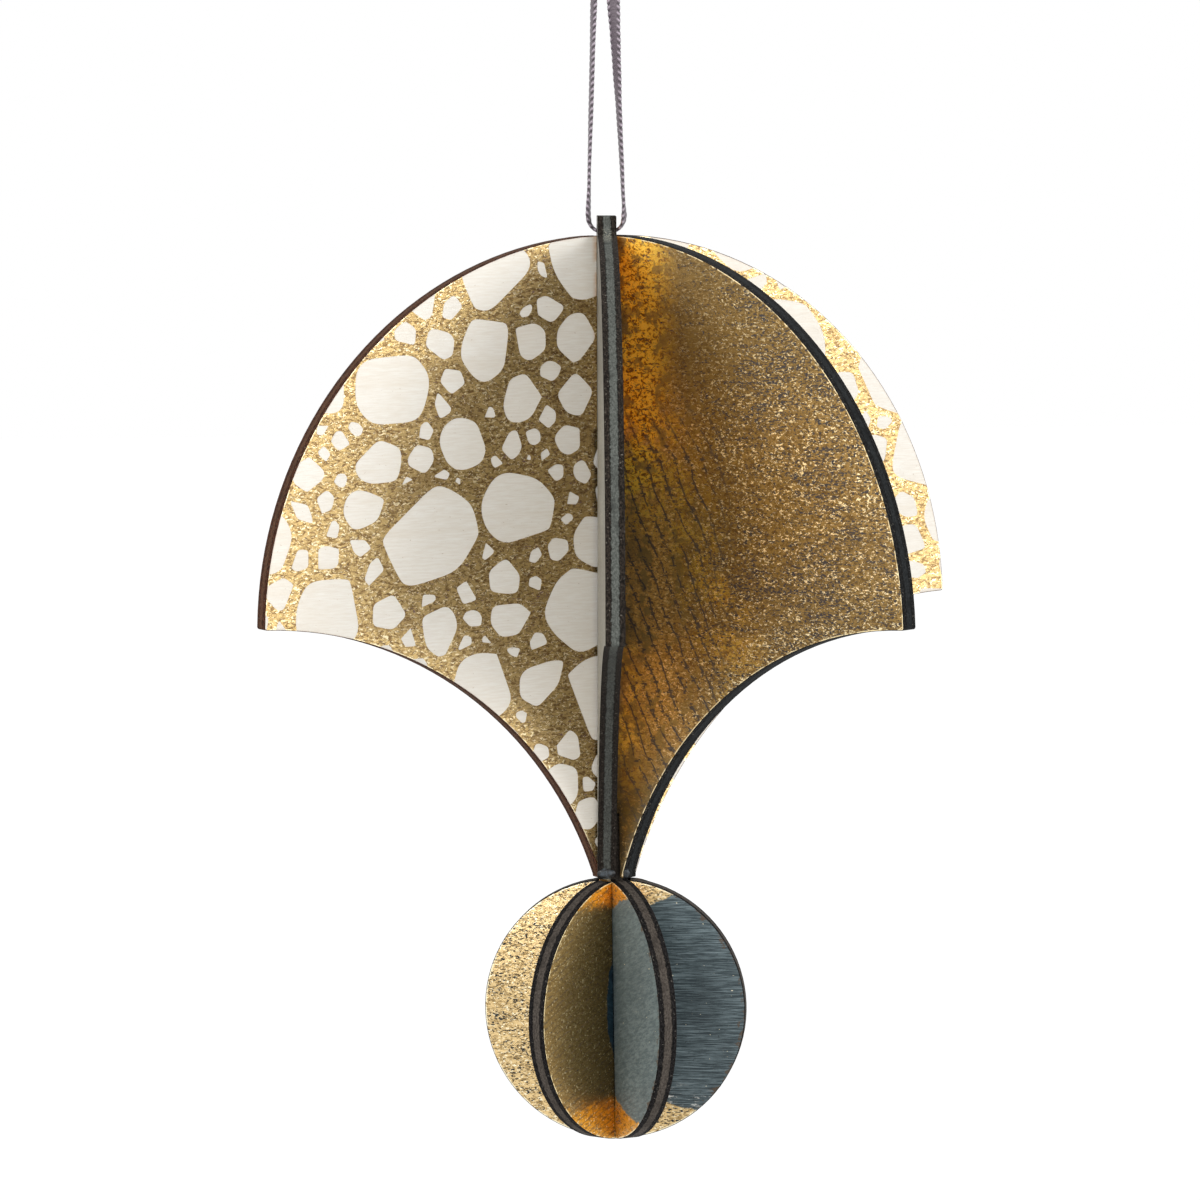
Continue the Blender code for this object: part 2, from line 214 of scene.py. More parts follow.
class Look:
    """A node material in the making: each method adds nodes and gives back an output."""

    def __init__(self, name):
        self.material = bpy.data.materials.new(name)
        self.material.use_nodes = True
        self.tree = self.material.node_tree
        self.shader = self.tree.nodes["Principled BSDF"]
        place = self.node("ShaderNodeTexCoord").outputs["Object"]
        self.place = self.stretched(place, 1000, 1000, 1000)
        split = self.node("ShaderNodeSeparateXYZ", {0: self.place})
        self.x, self.y, self.z = split.outputs[0], split.outputs[1], split.outputs[2]

    def node(self, kind, inputs=None, **settings):
        made = self.tree.nodes.new(kind)
        for key, value in settings.items():
            setattr(made, key, value)
        for key, value in (inputs or {}).items():
            self.put(made.inputs[key], value)
        return made

    def put(self, socket, value):
        if isinstance(value, bpy.types.NodeSocket):
            self.tree.links.new(value, socket)
        else:
            socket.default_value = value

    def calc(self, operation, a, b=0.0, c=0.0):
        inputs = {0: a, 1: b, 2: c}
        return self.node("ShaderNodeMath", inputs, operation=operation).outputs[0]

    def rise(self, value, low, high):
        """0 below low, 1 above high and smooth between them."""
        inputs = {"Value": value, "From Min": low, "From Max": high}
        made = self.node("ShaderNodeMapRange", inputs, interpolation_type="SMOOTHSTEP")
        return made.outputs["Result"]

    def fall(self, value, low, high):
        """1 below low, 0 above high and smooth between them."""
        return self.rest(self.rise(value, low, high))

    def between(self, value, start, full, fade, end):
        """1 from full to fade, 0 outside start and end, and smooth between them."""
        return self.product(self.rise(value, start, full), self.fall(value, fade, end))

    def rest(self, share):
        return self.calc("SUBTRACT", 1.0, share)

    def product(self, first, *others):
        for other in others:
            first = self.calc("MULTIPLY", first, other)
        return first

    def largest(self, first, *others):
        for other in others:
            first = self.calc("MAXIMUM", first, other)
        return first

    def swing(self, value, size):
        """How far a noise is from its middle, times size."""
        return self.product(self.calc("SUBTRACT", value, 0.5), size)

    def stretched(self, place, x, y, z):
        inputs = {0: place, 1: (x, y, z)}
        return self.node("ShaderNodeVectorMath", inputs, operation="MULTIPLY").outputs[0]

    def turned(self, place, degrees):
        """The place turned in the board's plane."""
        inputs = {"Vector": place, "Angle": math.radians(degrees)}
        made = self.node("ShaderNodeVectorRotate", inputs, rotation_type="Y_AXIS")
        return made.outputs[0]

    def moved(self, place, x, y, z):
        inputs = {0: place, 1: (x, y, z)}
        return self.node("ShaderNodeVectorMath", inputs, operation="ADD").outputs[0]

    def noise(self, place, size, detail=2.0, roughness=0.5, distortion=0.0):
        """Noise whose features are about size millimetres."""
        inputs = {
            "Vector": place,
            "Scale": 1.0 / size,
            "Detail": detail,
            "Roughness": roughness,
            "Distortion": distortion,
        }
        return self.node("ShaderNodeTexNoise", inputs).outputs[0]

    def mix(self, share, low, high):
        low, high = [(*c, 1.0) if isinstance(c, tuple) else c for c in (low, high)]
        made = self.node("ShaderNodeMix", data_type="RGBA")
        self.put(made.inputs[0], share)
        self.put(made.inputs[6], low)
        self.put(made.inputs[7], high)
        return made.outputs[2]

    def tinted(self, colour, share, strength, tint):
        """The colour mixed with a tint by a share of that strength."""
        return self.mix(self.product(share, strength), colour, tint)

    def blend(self, share, low, high):
        made = self.node("ShaderNodeMix", data_type="FLOAT")
        self.put(made.inputs[0], share)
        self.put(made.inputs[2], low)
        self.put(made.inputs[3], high)
        return made.outputs[0]

    def bump(self, height, depth):
        """Relief of that depth, in millimetres."""
        return self.node("ShaderNodeBump", {"Height": height, "Distance": depth * MM}).outputs[0]

    def off_axis(self):
        return self.calc("ABSOLUTE", self.x)

    def reach(self, x, z, mirrored=False):
        """The distance in the board's plane from a point, or from the nearer of two mirrored ones."""
        dx = self.calc("SUBTRACT", self.off_axis() if mirrored else self.x, x)
        dz = self.calc("SUBTRACT", self.z, z)
        return self.calc("SQRT", self.calc("MULTIPLY_ADD", dx, dx, self.product(dz, dz)))

    def fan_edge(self):
        """How far inside a fan plate's outline a point is."""
        rim = self.calc("SUBTRACT", FAN_RADIUS / MM, self.reach(0, 0))
        sweep = self.reach(SWEEP_REACH / MM, -SWEEP_DROP / MM, mirrored=True)
        return self.calc("MINIMUM", rim, self.calc("SUBTRACT", sweep, SWEEP_RADIUS / MM))

    def disc_edge(self):
        """How far inside a disc's rim a point is."""
        return self.calc("SUBTRACT", BALL_RADIUS / MM, self.reach(0, 0))

    def set(self, colour, roughness, metallic=0.0, normal=None, **others):
        self.put(self.shader.inputs["Base Color"], (*colour, 1.0) if isinstance(colour, tuple) else colour)
        self.put(self.shader.inputs["Roughness"], roughness)
        self.put(self.shader.inputs["Metallic"], metallic)
        if normal is not None:
            self.put(self.shader.inputs["Normal"], normal)
        for key, value in others.items():
            self.put(self.shader.inputs[key.replace("_", " ")], value)
        return self.material


def times(colour, share):
    return tuple(share * c for c in colour)


def orange_reflection_near_axis(look):
    """Painted orange reflection on the leaf beside the axis, most of it high up, and a haze of it that
    drifts outward.
    """
    across = look.off_axis()
    cloud = look.noise(look.moved(look.place, 7, 0, 4), 7.0, detail=6, roughness=0.70)
    low = look.product(look.fall(across, 3.0, 12.0), look.fall(look.z, -12.0, 2.0), 0.55)
    close = look.product(look.fall(across, 8.5, 17.5), look.rise(cloud, 0.42, 0.50))
    close = look.product(close, look.largest(look.rise(look.z, 10.0, 24.0), low))
    aside = look.calc("MULTIPLY_ADD", look.z, 0.394, look.calc("MULTIPLY_ADD", across, 0.92, -22.6))
    drift = look.product(look.fall(look.calc("ABSOLUTE", aside), 2.0, 9.0), look.rise(look.z, -22.0, 2.0))
    haze = look.noise(look.moved(look.place, 1, 6, 2), 5.0, detail=5, roughness=0.70)
    return look.largest(close, look.product(drift, look.rise(haze, 0.42, 0.58), 0.42))


def orange_reflection_near_poles(look):
    """Painted orange reflection at the top and the bottom of a disc, with a ragged border."""
    rag = look.noise(look.stretched(look.place, 0.6, 1, 1), 1.5, detail=5, roughness=0.78)
    level = look.calc("ADD", look.z, look.swing(rag, 9.0))
    # Noise that breaks the painted reflection into patches
    worn = look.noise(look.stretched(look.place, 0.5, 1, 1), 0.8, detail=4, roughness=0.7)
    poles = look.largest(look.rise(level, 16.6, 18.4), look.fall(level, -16.0, -13.6))
    return look.product(poles, look.calc("MULTIPLY_ADD", look.rise(worn, 0.36, 0.50), 0.65, 0.22))


def worn_outward(look):
    """More flecks of bare paint away from the axis."""
    cloud = look.rise(look.noise(look.place, 14.0, detail=3), 0.35, 0.65)
    worn = look.calc("MULTIPLY_ADD", look.rise(look.off_axis(), 8.0, 34.0), 0.42, 0.40)
    return look.calc("MULTIPLY_ADD", cloud, 0.22, worn)


def glints_outward(look):
    """More painted glints away from the axis."""
    return look.calc("MULTIPLY_ADD", look.rise(look.off_axis(), 5.0, 32.0), 0.82, 0.18)


def burnt_edge(name, veneer, core, seam=0.64, marks=False):
    """A laser-cut edge: two dark veneers round a lighter core, with scorch marks and fine cut lines.

    seam is how far from the board's middle its veneers begin, in millimetres. marks darkens the
    edge below the plate's middle and puts pale chips of glue on it at the foot of the tab.
    """
    look = Look(name)
    through = look.calc("ABSOLUTE", look.y)
    wander = look.noise(look.place, 0.7, detail=4, roughness=0.75)
    depth = look.calc("ADD", through, look.swing(wander, 0.85))
    in_veneer = look.rise(depth, seam - 0.07, seam + 0.07)
    grain = look.noise(look.stretched(look.place, 1, 1.6, 1), 0.42, detail=4, roughness=0.78)
    cuts = look.noise(look.stretched(look.place, 4, 0.4, 4), 0.8, detail=2)
    char = look.noise(look.place, 4.5, detail=4, roughness=0.65)
    core_shade = look.mix(look.rise(grain, 0.34, 0.66), times(core, 0.45), times(core, 1.30))
    core_shade = look.mix(look.rise(char, 0.50, 0.70), core_shade, times(core, 0.45))
    veneer_shade = look.mix(look.rise(grain, 0.42, 0.62), times(veneer, 0.35), times(veneer, 2.2))
    dust = look.noise(look.moved(look.place, 4, 1, 6), 0.40, detail=3, roughness=0.7)
    veneer_shade = look.tinted(veneer_shade, look.rise(dust, 0.63, 0.67), 0.55, (0.26, 0.24, 0.20))
    colour = look.mix(in_veneer, core_shade, veneer_shade)
    seam_line = look.between(depth, seam - 0.15, seam, seam, seam + 0.13)
    colour = look.tinted(colour, seam_line, 0.75, times(veneer, 0.25))
    if marks:
        colour = look.tinted(colour, look.fall(look.z, -1.0, 1.0), 0.45, times(veneer, 0.6))
        foot = look.product(look.between(look.z, 60.0, 60.6, 61.8, 62.3), look.fall(through, 0.55, 0.85))
        chips = look.noise(look.place, 0.36, detail=3, roughness=0.75, distortion=0.8)
        colour = look.tinted(colour, foot, look.rise(chips, 0.53, 0.60), (0.34, 0.33, 0.26))
    height = look.calc("ADD", look.product(grain, 0.9), look.product(cuts, 0.5))
    return look.set(colour, 0.75, normal=look.bump(height, 0.10), Specular_IOR_Level=0.06)


def pale_wood(name):
    """Bare birch veneer: fine level grain, a few pores, a scorched rim and some orange by the top slot."""
    look = Look(name)
    fine = look.noise(look.stretched(look.place, 0.10, 1, 1), 0.30, detail=4, roughness=0.65)
    broad = look.noise(look.stretched(look.place, 0.06, 1, 1), 2.6, detail=3, distortion=0.4)
    tone = look.noise(look.place, 22.0, detail=2)
    pores = look.noise(look.stretched(look.place, 0.35, 1, 1), 0.22, detail=1)
    patchy = look.rise(look.noise(look.place, 3.0, detail=3), 0.40, 0.60)
    by_slot = look.product(look.fall(look.off_axis(), 2.5, 3.6), look.rise(look.z, 28.0, 34.0), patchy)
    colour = look.mix(look.rise(fine, 0.30, 0.72), (0.82, 0.765, 0.675), (0.90, 0.87, 0.80))
    for share, strength, tint in (
        (look.rise(broad, 0.50, 0.74), 0.35, (0.77, 0.69, 0.57)),
        (look.rise(tone, 0.45, 0.70), 0.22, (0.83, 0.74, 0.61)),
        (look.rise(pores, 0.745, 0.79), 0.5, (0.42, 0.30, 0.18)),
        (look.fall(look.fan_edge(), 0.05, 0.40), 0.25, (0.40, 0.24, 0.13)),
        (by_slot, 0.65, (0.62, 0.33, 0.12)),
    ):
        colour = look.tinted(colour, share, strength, tint)
    return look.set(colour, 0.58, normal=look.bump(fine, 0.03), Specular_IOR_Level=0.35)


def leaf_layers(look, tones, fleck_share, glint_share, seed):
    """Gold leaf rubbed over dark paint: returns its colour, where the paint shows, and its relief.

    tones are the leaf's dark, middle and bright colours; a share is a number or an output. The crinkle's
    dark and middle tones are partly painted reflection, and the glints are painted highlights.
    """
    dark, middle, bright = tones
    place = look.moved(look.place, seed, 3 * seed, -seed)
    level = look.stretched(place, 0.55, 1, 1)
    crinkle = look.noise(level, 0.50, detail=4, roughness=0.72, distortion=0.8)
    glint = look.noise(look.moved(level, 5, 2, 9), 0.33, detail=2, roughness=0.6, distortion=0.8)
    patches = look.noise(place, 8.0, detail=4, roughness=0.6)
    # Painted reflection, in part: the crinkle's dark and middle tones stand in for its facets reflecting
    # dark and light
    colour = look.mix(look.rise(crinkle, 0.41, 0.54), dark, middle)
    # Painted highlights: glints in the bright tone
    colour = look.tinted(colour, look.rise(glint, 0.590, 0.625), glint_share, bright)
    colour = look.tinted(colour, look.rise(patches, 0.48, 0.66), 0.30, dark)
    fleck = look.noise(look.stretched(place, 0.42, 1, 1), 0.26, detail=3, roughness=0.66, distortion=0.4)
    rows = look.noise(look.stretched(place, 0.12, 1, 1), 0.9, detail=4, roughness=0.6)
    threshold = look.calc("SUBTRACT", 0.75, look.product(fleck_share, 0.22))
    margin = look.calc("SUBTRACT", look.calc("ADD", fleck, look.swing(rows, 0.34)), threshold)
    flecks = look.rise(margin, 0.0, 0.025)
    height = look.calc("SUBTRACT", crinkle, look.product(flecks, 0.35))
    return colour, flecks, height


def crackle(look, slant, period):
    """Fine dark cracks that run slantwise down the leaf, bent and broken by its grain."""
    place = look.turned(look.place, slant)
    across = look.node("ShaderNodeSeparateXYZ", {0: place}).outputs[0]
    bend = look.product(look.noise(look.place, 16.0, detail=2), 14.0)
    waver = look.product(look.noise(look.place, 1.0, detail=3), 1.9)
    phase = look.calc("MULTIPLY_ADD", across, 2 * math.pi / period, look.calc("ADD", bend, waver))
    wave = look.calc("SINE", phase)
    broken = look.noise(look.stretched(look.place, 0.5, 1, 0.7), 1.1, detail=4, roughness=0.75)
    lines = look.product(look.rise(wave, 0.84, 0.97), look.rise(broken, 0.42, 0.48))
    ticks = look.noise(look.stretched(look.place, 0.30, 1, 1), 0.42, detail=2)
    ticks = look.product(look.rise(ticks, 0.57, 0.61), look.rise(wave, 0.0, 0.4))
    return look.largest(lines, ticks)


def add_age_and_painted_light(look, colour, flecks, metal):
    """Bronze leaf with marks of age and painted light: painted orange reflection and painted shade beside
    the axis, painted light lifting it in the middle, darker high up and low down, with calm patches and
    cracks.

    Returns its colour, where the paint shows, and how metallic it is.
    """
    near = look.fall(look.off_axis(), 4.0, 26.0)
    # Painted light: the leaf near the axis is lifted brighter in its middle heights
    lifted = look.stretched(colour, 2.20, 1.82, 1.30)
    colour = look.tinted(colour, near, look.between(look.z, -34.0, -10.0, 22.0, 48.0), lifted)
    # Darker towards the top
    colour = look.tinted(colour, look.rise(look.z, 28.0, 46.0), 0.45, (0.150, 0.094, 0.028))
    calm = look.noise(look.moved(look.place, 3, 8, 1), 3.4, detail=4, roughness=0.62)
    calm = look.product(look.rise(calm, 0.54, 0.60), look.fall(look.off_axis(), 10.0, 34.0))
    colour = look.tinted(colour, calm, 0.80, (0.255, 0.160, 0.045))
    flecks = look.product(flecks, look.rest(calm))
    # Painted orange reflection near the axis, with painted highlights of brighter orange in it
    reflection_share = look.product(orange_reflection_near_axis(look), look.rest(look.product(calm, 0.8)))
    drawn = look.stretched(look.place, 0.7, 1, 1)
    bright = look.noise(drawn, 0.75, detail=4, roughness=0.75, distortion=0.9)
    orange_reflection = look.mix(look.rise(bright, 0.42, 0.47), times(ORANGE, 0.22), ORANGE)
    orange_reflection = look.mix(look.rise(bright, 0.465, 0.515), orange_reflection, ORANGE_HIGHLIGHT)
    colour = look.mix(reflection_share, colour, orange_reflection)
    metal = look.calc("SUBTRACT", metal, look.product(look.largest(reflection_share, near), 0.45))
    # Painted shade: dark olive beside the axis in the middle heights
    cloud = look.noise(look.moved(look.place, 9, 2, 5), 6.0, detail=4, roughness=0.65)
    beside = look.product(look.fall(look.off_axis(), 5.0, 12.0), look.rise(cloud, 0.38, 0.56))
    beside = look.product(beside, look.between(look.z, -30.0, -20.0, 12.0, 24.0))
    colour = look.tinted(colour, beside, 0.60, (0.082, 0.057, 0.026))
    # Darker in patches towards the bottom
    tip = look.product(look.fall(look.z, -32.0, -18.0), look.rise(bright, 0.40, 0.47))
    colour = look.tinted(colour, tip, 0.90, (0.075, 0.052, 0.018))
    drawn = look.stretched(look.place, 0.40, 1, 1)
    charring = look.noise(drawn, 0.55, detail=3, roughness=0.7, distortion=0.8)
    charred = look.product(look.rise(charring, 0.575, 0.61), reflection_share, 0.85)
    band = look.between(look.off_axis(), 1.0, 5.0, 20.0, 31.0)
    band = look.product(band, look.between(look.z, -46.0, -22.0, 26.0, 40.0))
    cracks = look.product(crackle(look, 28.0, 2.5), band, 0.88)
    return colour, look.largest(flecks, charred, cracks), metal


def leaf(name, tones, paint, seed, fleck_share, glint_share=1.0, metal=0.92, age_and_painted_light=False):
    """A fan plate's face in gold leaf, with flecks of paint and a bright line along its edge, partly a
    painted edge highlight.

    A share is a number or a function of the look, and old adds the marks of age together with painted
    orange reflection, painted shade and painted light.
    """
    look = Look(name)
    shares = [share(look) if callable(share) else share for share in (fleck_share, glint_share)]
    colour, flecks, height = leaf_layers(look, tones, *shares, seed)
    if age_and_painted_light:
        colour, flecks, metal = add_age_and_painted_light(look, colour, flecks, metal)
    colour = look.mix(flecks, colour, paint)
    # A bright line along the edge, partly a painted edge highlight and partly the leaf's own edge, broken
    # up by noise
    chips = look.rise(look.noise(look.place, 1.1, detail=3), 0.42, 0.52)
    colour = look.tinted(colour, look.fall(look.fan_edge(), 0.17, 0.30), chips, tones[2])
    metallic = look.product(metal, look.rest(flecks))
    return look.set(colour, look.blend(flecks, 0.36, 0.6), metallic, look.bump(height, 0.09))


def brushed_paint(look, base, light, dark, brush):
    """Satin paint with brush streaks: returns its colour, the streaks and where leaf shows through.

    brush is the streaks' slant in degrees, how far they are drawn out, and their width.
    """
    slant, drawn, width = brush
    place = look.turned(look.place, slant) if slant else look.place
    streaks = look.noise(look.stretched(place, 1 / drawn, 1, 1), width, detail=4, roughness=0.72)
    cloud = look.noise(place, 9.0, detail=3)
    nicks = look.noise(look.moved(place, 2, 5, 3), 0.55, detail=3, roughness=0.7)
    spots = look.noise(look.stretched(place, 0.4, 1, 1), 0.30, detail=2)
    colour = look.mix(look.rise(streaks, 0.44, 0.64), base, light)
    colour = look.tinted(colour, look.fall(streaks, 0.32, 0.48), 0.7, dark)
    colour = look.tinted(colour, look.rise(cloud, 0.46, 0.66), 0.28, dark)
    colour = look.tinted(colour, look.rise(nicks, 0.655, 0.69), 0.6, times(dark, 0.45))
    return colour, streaks, look.rise(spots, 0.715, 0.76)


def cap_char_and_painted_shade(look, colour):
    """The cap plate's charred prongs at its foot, and painted shade high up on it."""
    prong = look.product(look.fall(look.fan_edge(), 0.7, 1.1), look.fall(look.z, -36.0, -34.0))
    colour = look.tinted(colour, prong, 0.85, CHAR)
    # Painted shade: darker high up on the plate
    painted_top_shade = look.product(look.rise(look.z, 30.0, 48.0), look.rise(look.off_axis(), 5.0, 9.0))
    return look.tinted(colour, painted_top_shade, 0.45, (0.085, 0.083, 0.074))


def disc_wear_and_edge_highlight(look, colour, painted, wobble, bright):
    """A disc's bright rim where it is gilded, partly a painted edge highlight, its chipped rim where
    painted, and its charred stub.
    """
    distance = look.disc_edge()
    # A bright line round the gilded part, partly a painted edge highlight and partly the leaf's own edge
    rim = look.product(look.fall(distance, 0.18, 0.34), look.rest(painted))
    colour = look.tinted(colour, rim, look.rise(wobble, -0.10, 0.02), bright)
    ragged = look.noise(look.place, 1.5, detail=4, roughness=0.7)
    ragged = look.calc("SUBTRACT", distance, look.product(look.rise(ragged, 0.46, 0.72), 1.3))
    chipped = look.product(look.fall(ragged, -0.05, 0.05), painted)
    colour = look.tinted(colour, chipped, 0.8, WORN_WOOD)
    return look.mix(look.rise(look.z, BALL_RADIUS / MM - 0.1, BALL_RADIUS / MM + 0.3), colour, CHAR)


def moon(
    name,
    tones,
    paint,
    centre,
    radius,
    fleck_share,
    seed,
    disc=True,
    orange=None,
    brush=(0.0, 14.0, 0.30),
    glint_share=1.0,
    cracks=None,
    scuffs=False,
    relief_depth=0.08,
):
    """A gilded face with one large round patch of brushed paint laid over it.

    tones are the leaf's colours and paint the patch's; centre and radius are those of the patch,
    in millimetres. disc is for the ball's boards. orange gives where orange reflection is painted on the
    leaf, and cracks are the slant and spacing of its cracks.
    """
    look = Look(name)
    bright = tones[2]
    gold, flecks, height = leaf_layers(look, tones, fleck_share, glint_share, seed)
    shiny = 0.9
    # Painted orange reflection, varied by the crinkle
    if orange is not None:
        reflection_share = orange(look)
        orange_reflection = look.mix(look.rise(height, 0.34, 0.52), times(ORANGE, 0.30), ORANGE)
        gold = look.mix(reflection_share, gold, orange_reflection)
        shiny = look.calc("SUBTRACT", shiny, look.product(reflection_share, 0.5))
    if cracks is not None:
        flecks = look.largest(flecks, look.product(crackle(look, *cracks), 0.5))
        # Painted glints: sparse bright dots
        dots = look.noise(look.moved(look.place, 6, 1, 4), 0.40, detail=1)
        gold = look.tinted(gold, look.rise(dots, 0.665, 0.70), 0.7, bright)
    gold = look.mix(flecks, gold, paint[2])
    blue, streaks, spots = brushed_paint(look, *paint, brush)
    blue = look.mix(spots, blue, bright)
    wobble = look.swing(look.noise(look.place, 1.3, detail=3), 1.3)
    distance = look.calc("ADD", look.reach(*centre), wobble)
    if scuffs:
        rubbed = look.noise(look.stretched(look.place, 0.25, 1, 1), 0.7, detail=4, roughness=0.75)
        band = look.product(look.rise(distance, radius - 4.5, radius - 1), look.fall(look.z, -11.0, -7.0))
        blue = look.tinted(blue, look.rise(rubbed, 0.56, 0.66), band, (0.62, 0.62, 0.58))
    painted = look.fall(distance, radius - 0.16, radius + 0.16)
    colour = look.mix(painted, gold, blue)
    if disc:
        colour = disc_wear_and_edge_highlight(look, colour, painted, wobble, bright)
    else:
        colour = cap_char_and_painted_shade(look, colour)
    metal = look.rest(look.largest(painted, flecks))
    relief = look.blend(painted, height, look.product(streaks, 0.45))
    return look.set(
        colour,
        look.blend(metal, 0.48, 0.36),
        look.product(metal, shiny),
        look.bump(relief, relief_depth),
        Specular_IOR_Level=0.3,
    )


def glue(name):
    """Blue-grey glue that has set in a soft bead."""
    look = Look(name)
    cloud = look.noise(look.place, 0.9, detail=4, roughness=0.65)
    grit = look.noise(look.place, 0.16, detail=2)
    colour = look.mix(look.rise(cloud, 0.42, 0.66), (0.013, 0.013, 0.013), (0.048, 0.060, 0.070))
    colour = look.mix(look.rise(grit, 0.68, 0.76), colour, (0.15, 0.17, 0.18))
    return look.set(colour, 0.42, normal=look.bump(cloud, 0.12), Specular_IOR_Level=0.4)


# Boards

def plane_of(heading, height, lean=0.0):
    """From a board's own plane to the frame; a lean is about the cord's bore."""
    bore = Matrix.Translation((0, 0, -CORD_DROP)) @ Matrix.Rotation(math.radians(lean), 4, "Y")
    turn = Matrix.Rotation(math.radians(heading), 4, "Z")
    return bore @ Matrix.Translation((0, 0, height + CORD_DROP)) @ turn


def beside_cap(heading, place):
    """How far from the axis a slot's wall lies where it follows the leaning cap plate."""
    angle = math.radians(heading - CAP_HEADING)
    half = BOARD / 2 / math.tan(min(abs(angle), math.pi - abs(angle)) / 2) + SLOT_FIT - SLOT_CLOSE
    depth = FAN_RADIUS - place.z
    lean = math.sin(math.radians(CAP_LEAN)) * math.sin(math.radians(CAP_HEADING))
    return math.copysign(half, place.x) + depth * lean / math.sin(angle)


def draw_in_slots(work, heading, close, follows):
    """Moves a board's slot walls by close, to touch the boards that cross them.

    Where it follows, the walls of its top slot lie beside the leaning cap plate.
    """
    work.normal_update()
    walls = set()
    for face in work.faces:
        inward = face.normal.x * face.calc_center_median().x < 0
        if inward and abs(face.normal.x) > SQUARE_ON and face.calc_area() > SLOT_WALL_AREA:
            walls.update(face.verts)
    for vert in walls:
        if follows and vert.co.z > 0:
            vert.co.x = beside_cap(heading, vert.co)
        else:
            vert.co.x -= math.copysign(close, vert.co.x)
    work.normal_update()


def board(node, heading, height, front, back, edge, lean=0.0, close=SLOT_CLOSE, follows=False):
    """A copy of a board with softened edges and its own finish on each face and round its edge.

    close is how far its slot walls are drawn in, and follows is for those beside the cap plate.
    """
    place = plane_of(heading, height, lean)
    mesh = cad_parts[node].data.copy()
    mesh.transform(place.inverted())
    mesh.materials.clear()
    for material in (front, back, edge):
        mesh.materials.append(material)
    work = bmesh.new()
    work.from_mesh(mesh)
    bmesh.ops.remove_doubles(work, verts=work.verts, dist=MERGE_DISTANCE)
    bmesh.ops.dissolve_limit(
        work,
        angle_limit=FLAT_ANGLE,
        verts=work.verts,
        edges=work.edges,
        use_dissolve_boundaries=False,
    )
    draw_in_slots(work, heading, close, follows)
    for face in work.faces:
        face.material_index = EDGE
        if abs(face.normal.y) > FACE_ON:
            face.material_index = FRONT if face.normal.y < 0 else BACK
    sharp = [e for e in work.edges if len(e.link_faces) == 2 and e.calc_face_angle() > SHARP_ANGLE]
    bmesh.ops.bevel(
        work,
        geom=sharp,
        offset=EDGE_BEVEL,
        segments=2,
        profile=0.5,
        affect="EDGES",
        material=EDGE,
        clamp_overlap=True,
    )
    bmesh.ops.triangulate(work, faces=[f for f in work.faces if len(f.verts) > 4])
    work.to_mesh(mesh)
    work.free()
    thing = add_object(node + "_board", mesh)
    thing.matrix_world = place
    mesh.shade_smooth()
    mesh.set_sharp_from_angle(angle=SHADE_ANGLE)
    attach(thing, "bauble")
    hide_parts(node)
    return thing


# Print on the pale plate: chips of bare wood left free between gold

def scattered_chips(seed):
    """Centres and reaches of chips: large ones first, then smaller ones in the gaps."""
    draw = random.Random(seed)
    chips = []
    for reach, tries in CHIPS:
        for _ in range(tries):
            size = reach * draw.uniform(0.82, 1.18)
            x = draw.uniform(PRINT_LEFT, PRINT_RIGHT)
            z = draw.uniform(PRINT_LOW, PRINT_HIGH)
            if all(math.hypot(x - a, z - b) > CHIP_SPACING * (size + c) + CHIP_GAP for a, b, c in chips):
                chips.append((x, z, size))
    return chips


def cut_by(polygon, point, normal):
    """The part of a convex polygon on the near side of a line."""
    kept = []
    for a, b in zip(polygon, polygon[1:] + polygon[:1]):
        side_a = (a - point).dot(normal)
        side_b = (b - point).dot(normal)
        if side_a <= 0:
            kept.append(a)
        if side_a * side_b < 0:
            kept.append(a.lerp(b, side_a / (side_a - side_b)))
    return kept


def chip_outline(chip, chips, line, draw):
    """A straight-sided chip, drawn out one way and cut back by half the gold line from the rest."""
    x, z, size = chip
    centre = Vector((x, z))
    corners = draw.choice((4, 5, 5, 6, 6, 7))
    start = draw.uniform(0, 2 * math.pi)
    lean = draw.uniform(0, math.pi)
    drawn = draw.uniform(1.0, 1.55)
    along = Vector((math.cos(lean), math.sin(lean)))
    aside = Vector((-math.sin(lean), math.cos(lean)))
    polygon = []
    for i in range(corners):
        turn = start + 2 * math.pi * (i + draw.uniform(-0.28, 0.28)) / corners
        reach = size * draw.uniform(1.0, 1.22)
        corner = math.cos(turn) * drawn * along + math.sin(turn) / drawn ** 0.5 * aside
        polygon.append(centre + reach * corner)
    for a, b, other in chips:
        away = Vector((a, b)) - centre
        span = away.length
        if 0 < span < 2.0 * size + 2.2 * other:
            normal = away / span
            share = (span ** 2 + size ** 2 - other ** 2) / (2 * span)
            polygon = cut_by(polygon, centre + normal * (share - line / 2), normal)
            if len(polygon) < 3:
                return []
    return polygon


def eased(polygon, cut):
    """The polygon with each corner drawn as a short curve."""
    points = []
    count = len(polygon)
    for i, corner in enumerate(polygon):
        before = polygon[i - 1] - corner
        after = polygon[(i + 1) % count] - corner
        if before.length < 1e-6 or after.length < 1e-6:
            continue
        start = corner + before * min(CORNER_LIMIT, cut / before.length)
        end = corner + after * min(CORNER_LIMIT, cut / after.length)
        for k in range(CORNER_STEPS + 1):
            t = k / CORNER_STEPS
            points.append(start * (1 - t) ** 2 + corner * 2 * t * (1 - t) + end * t ** 2)
    return points


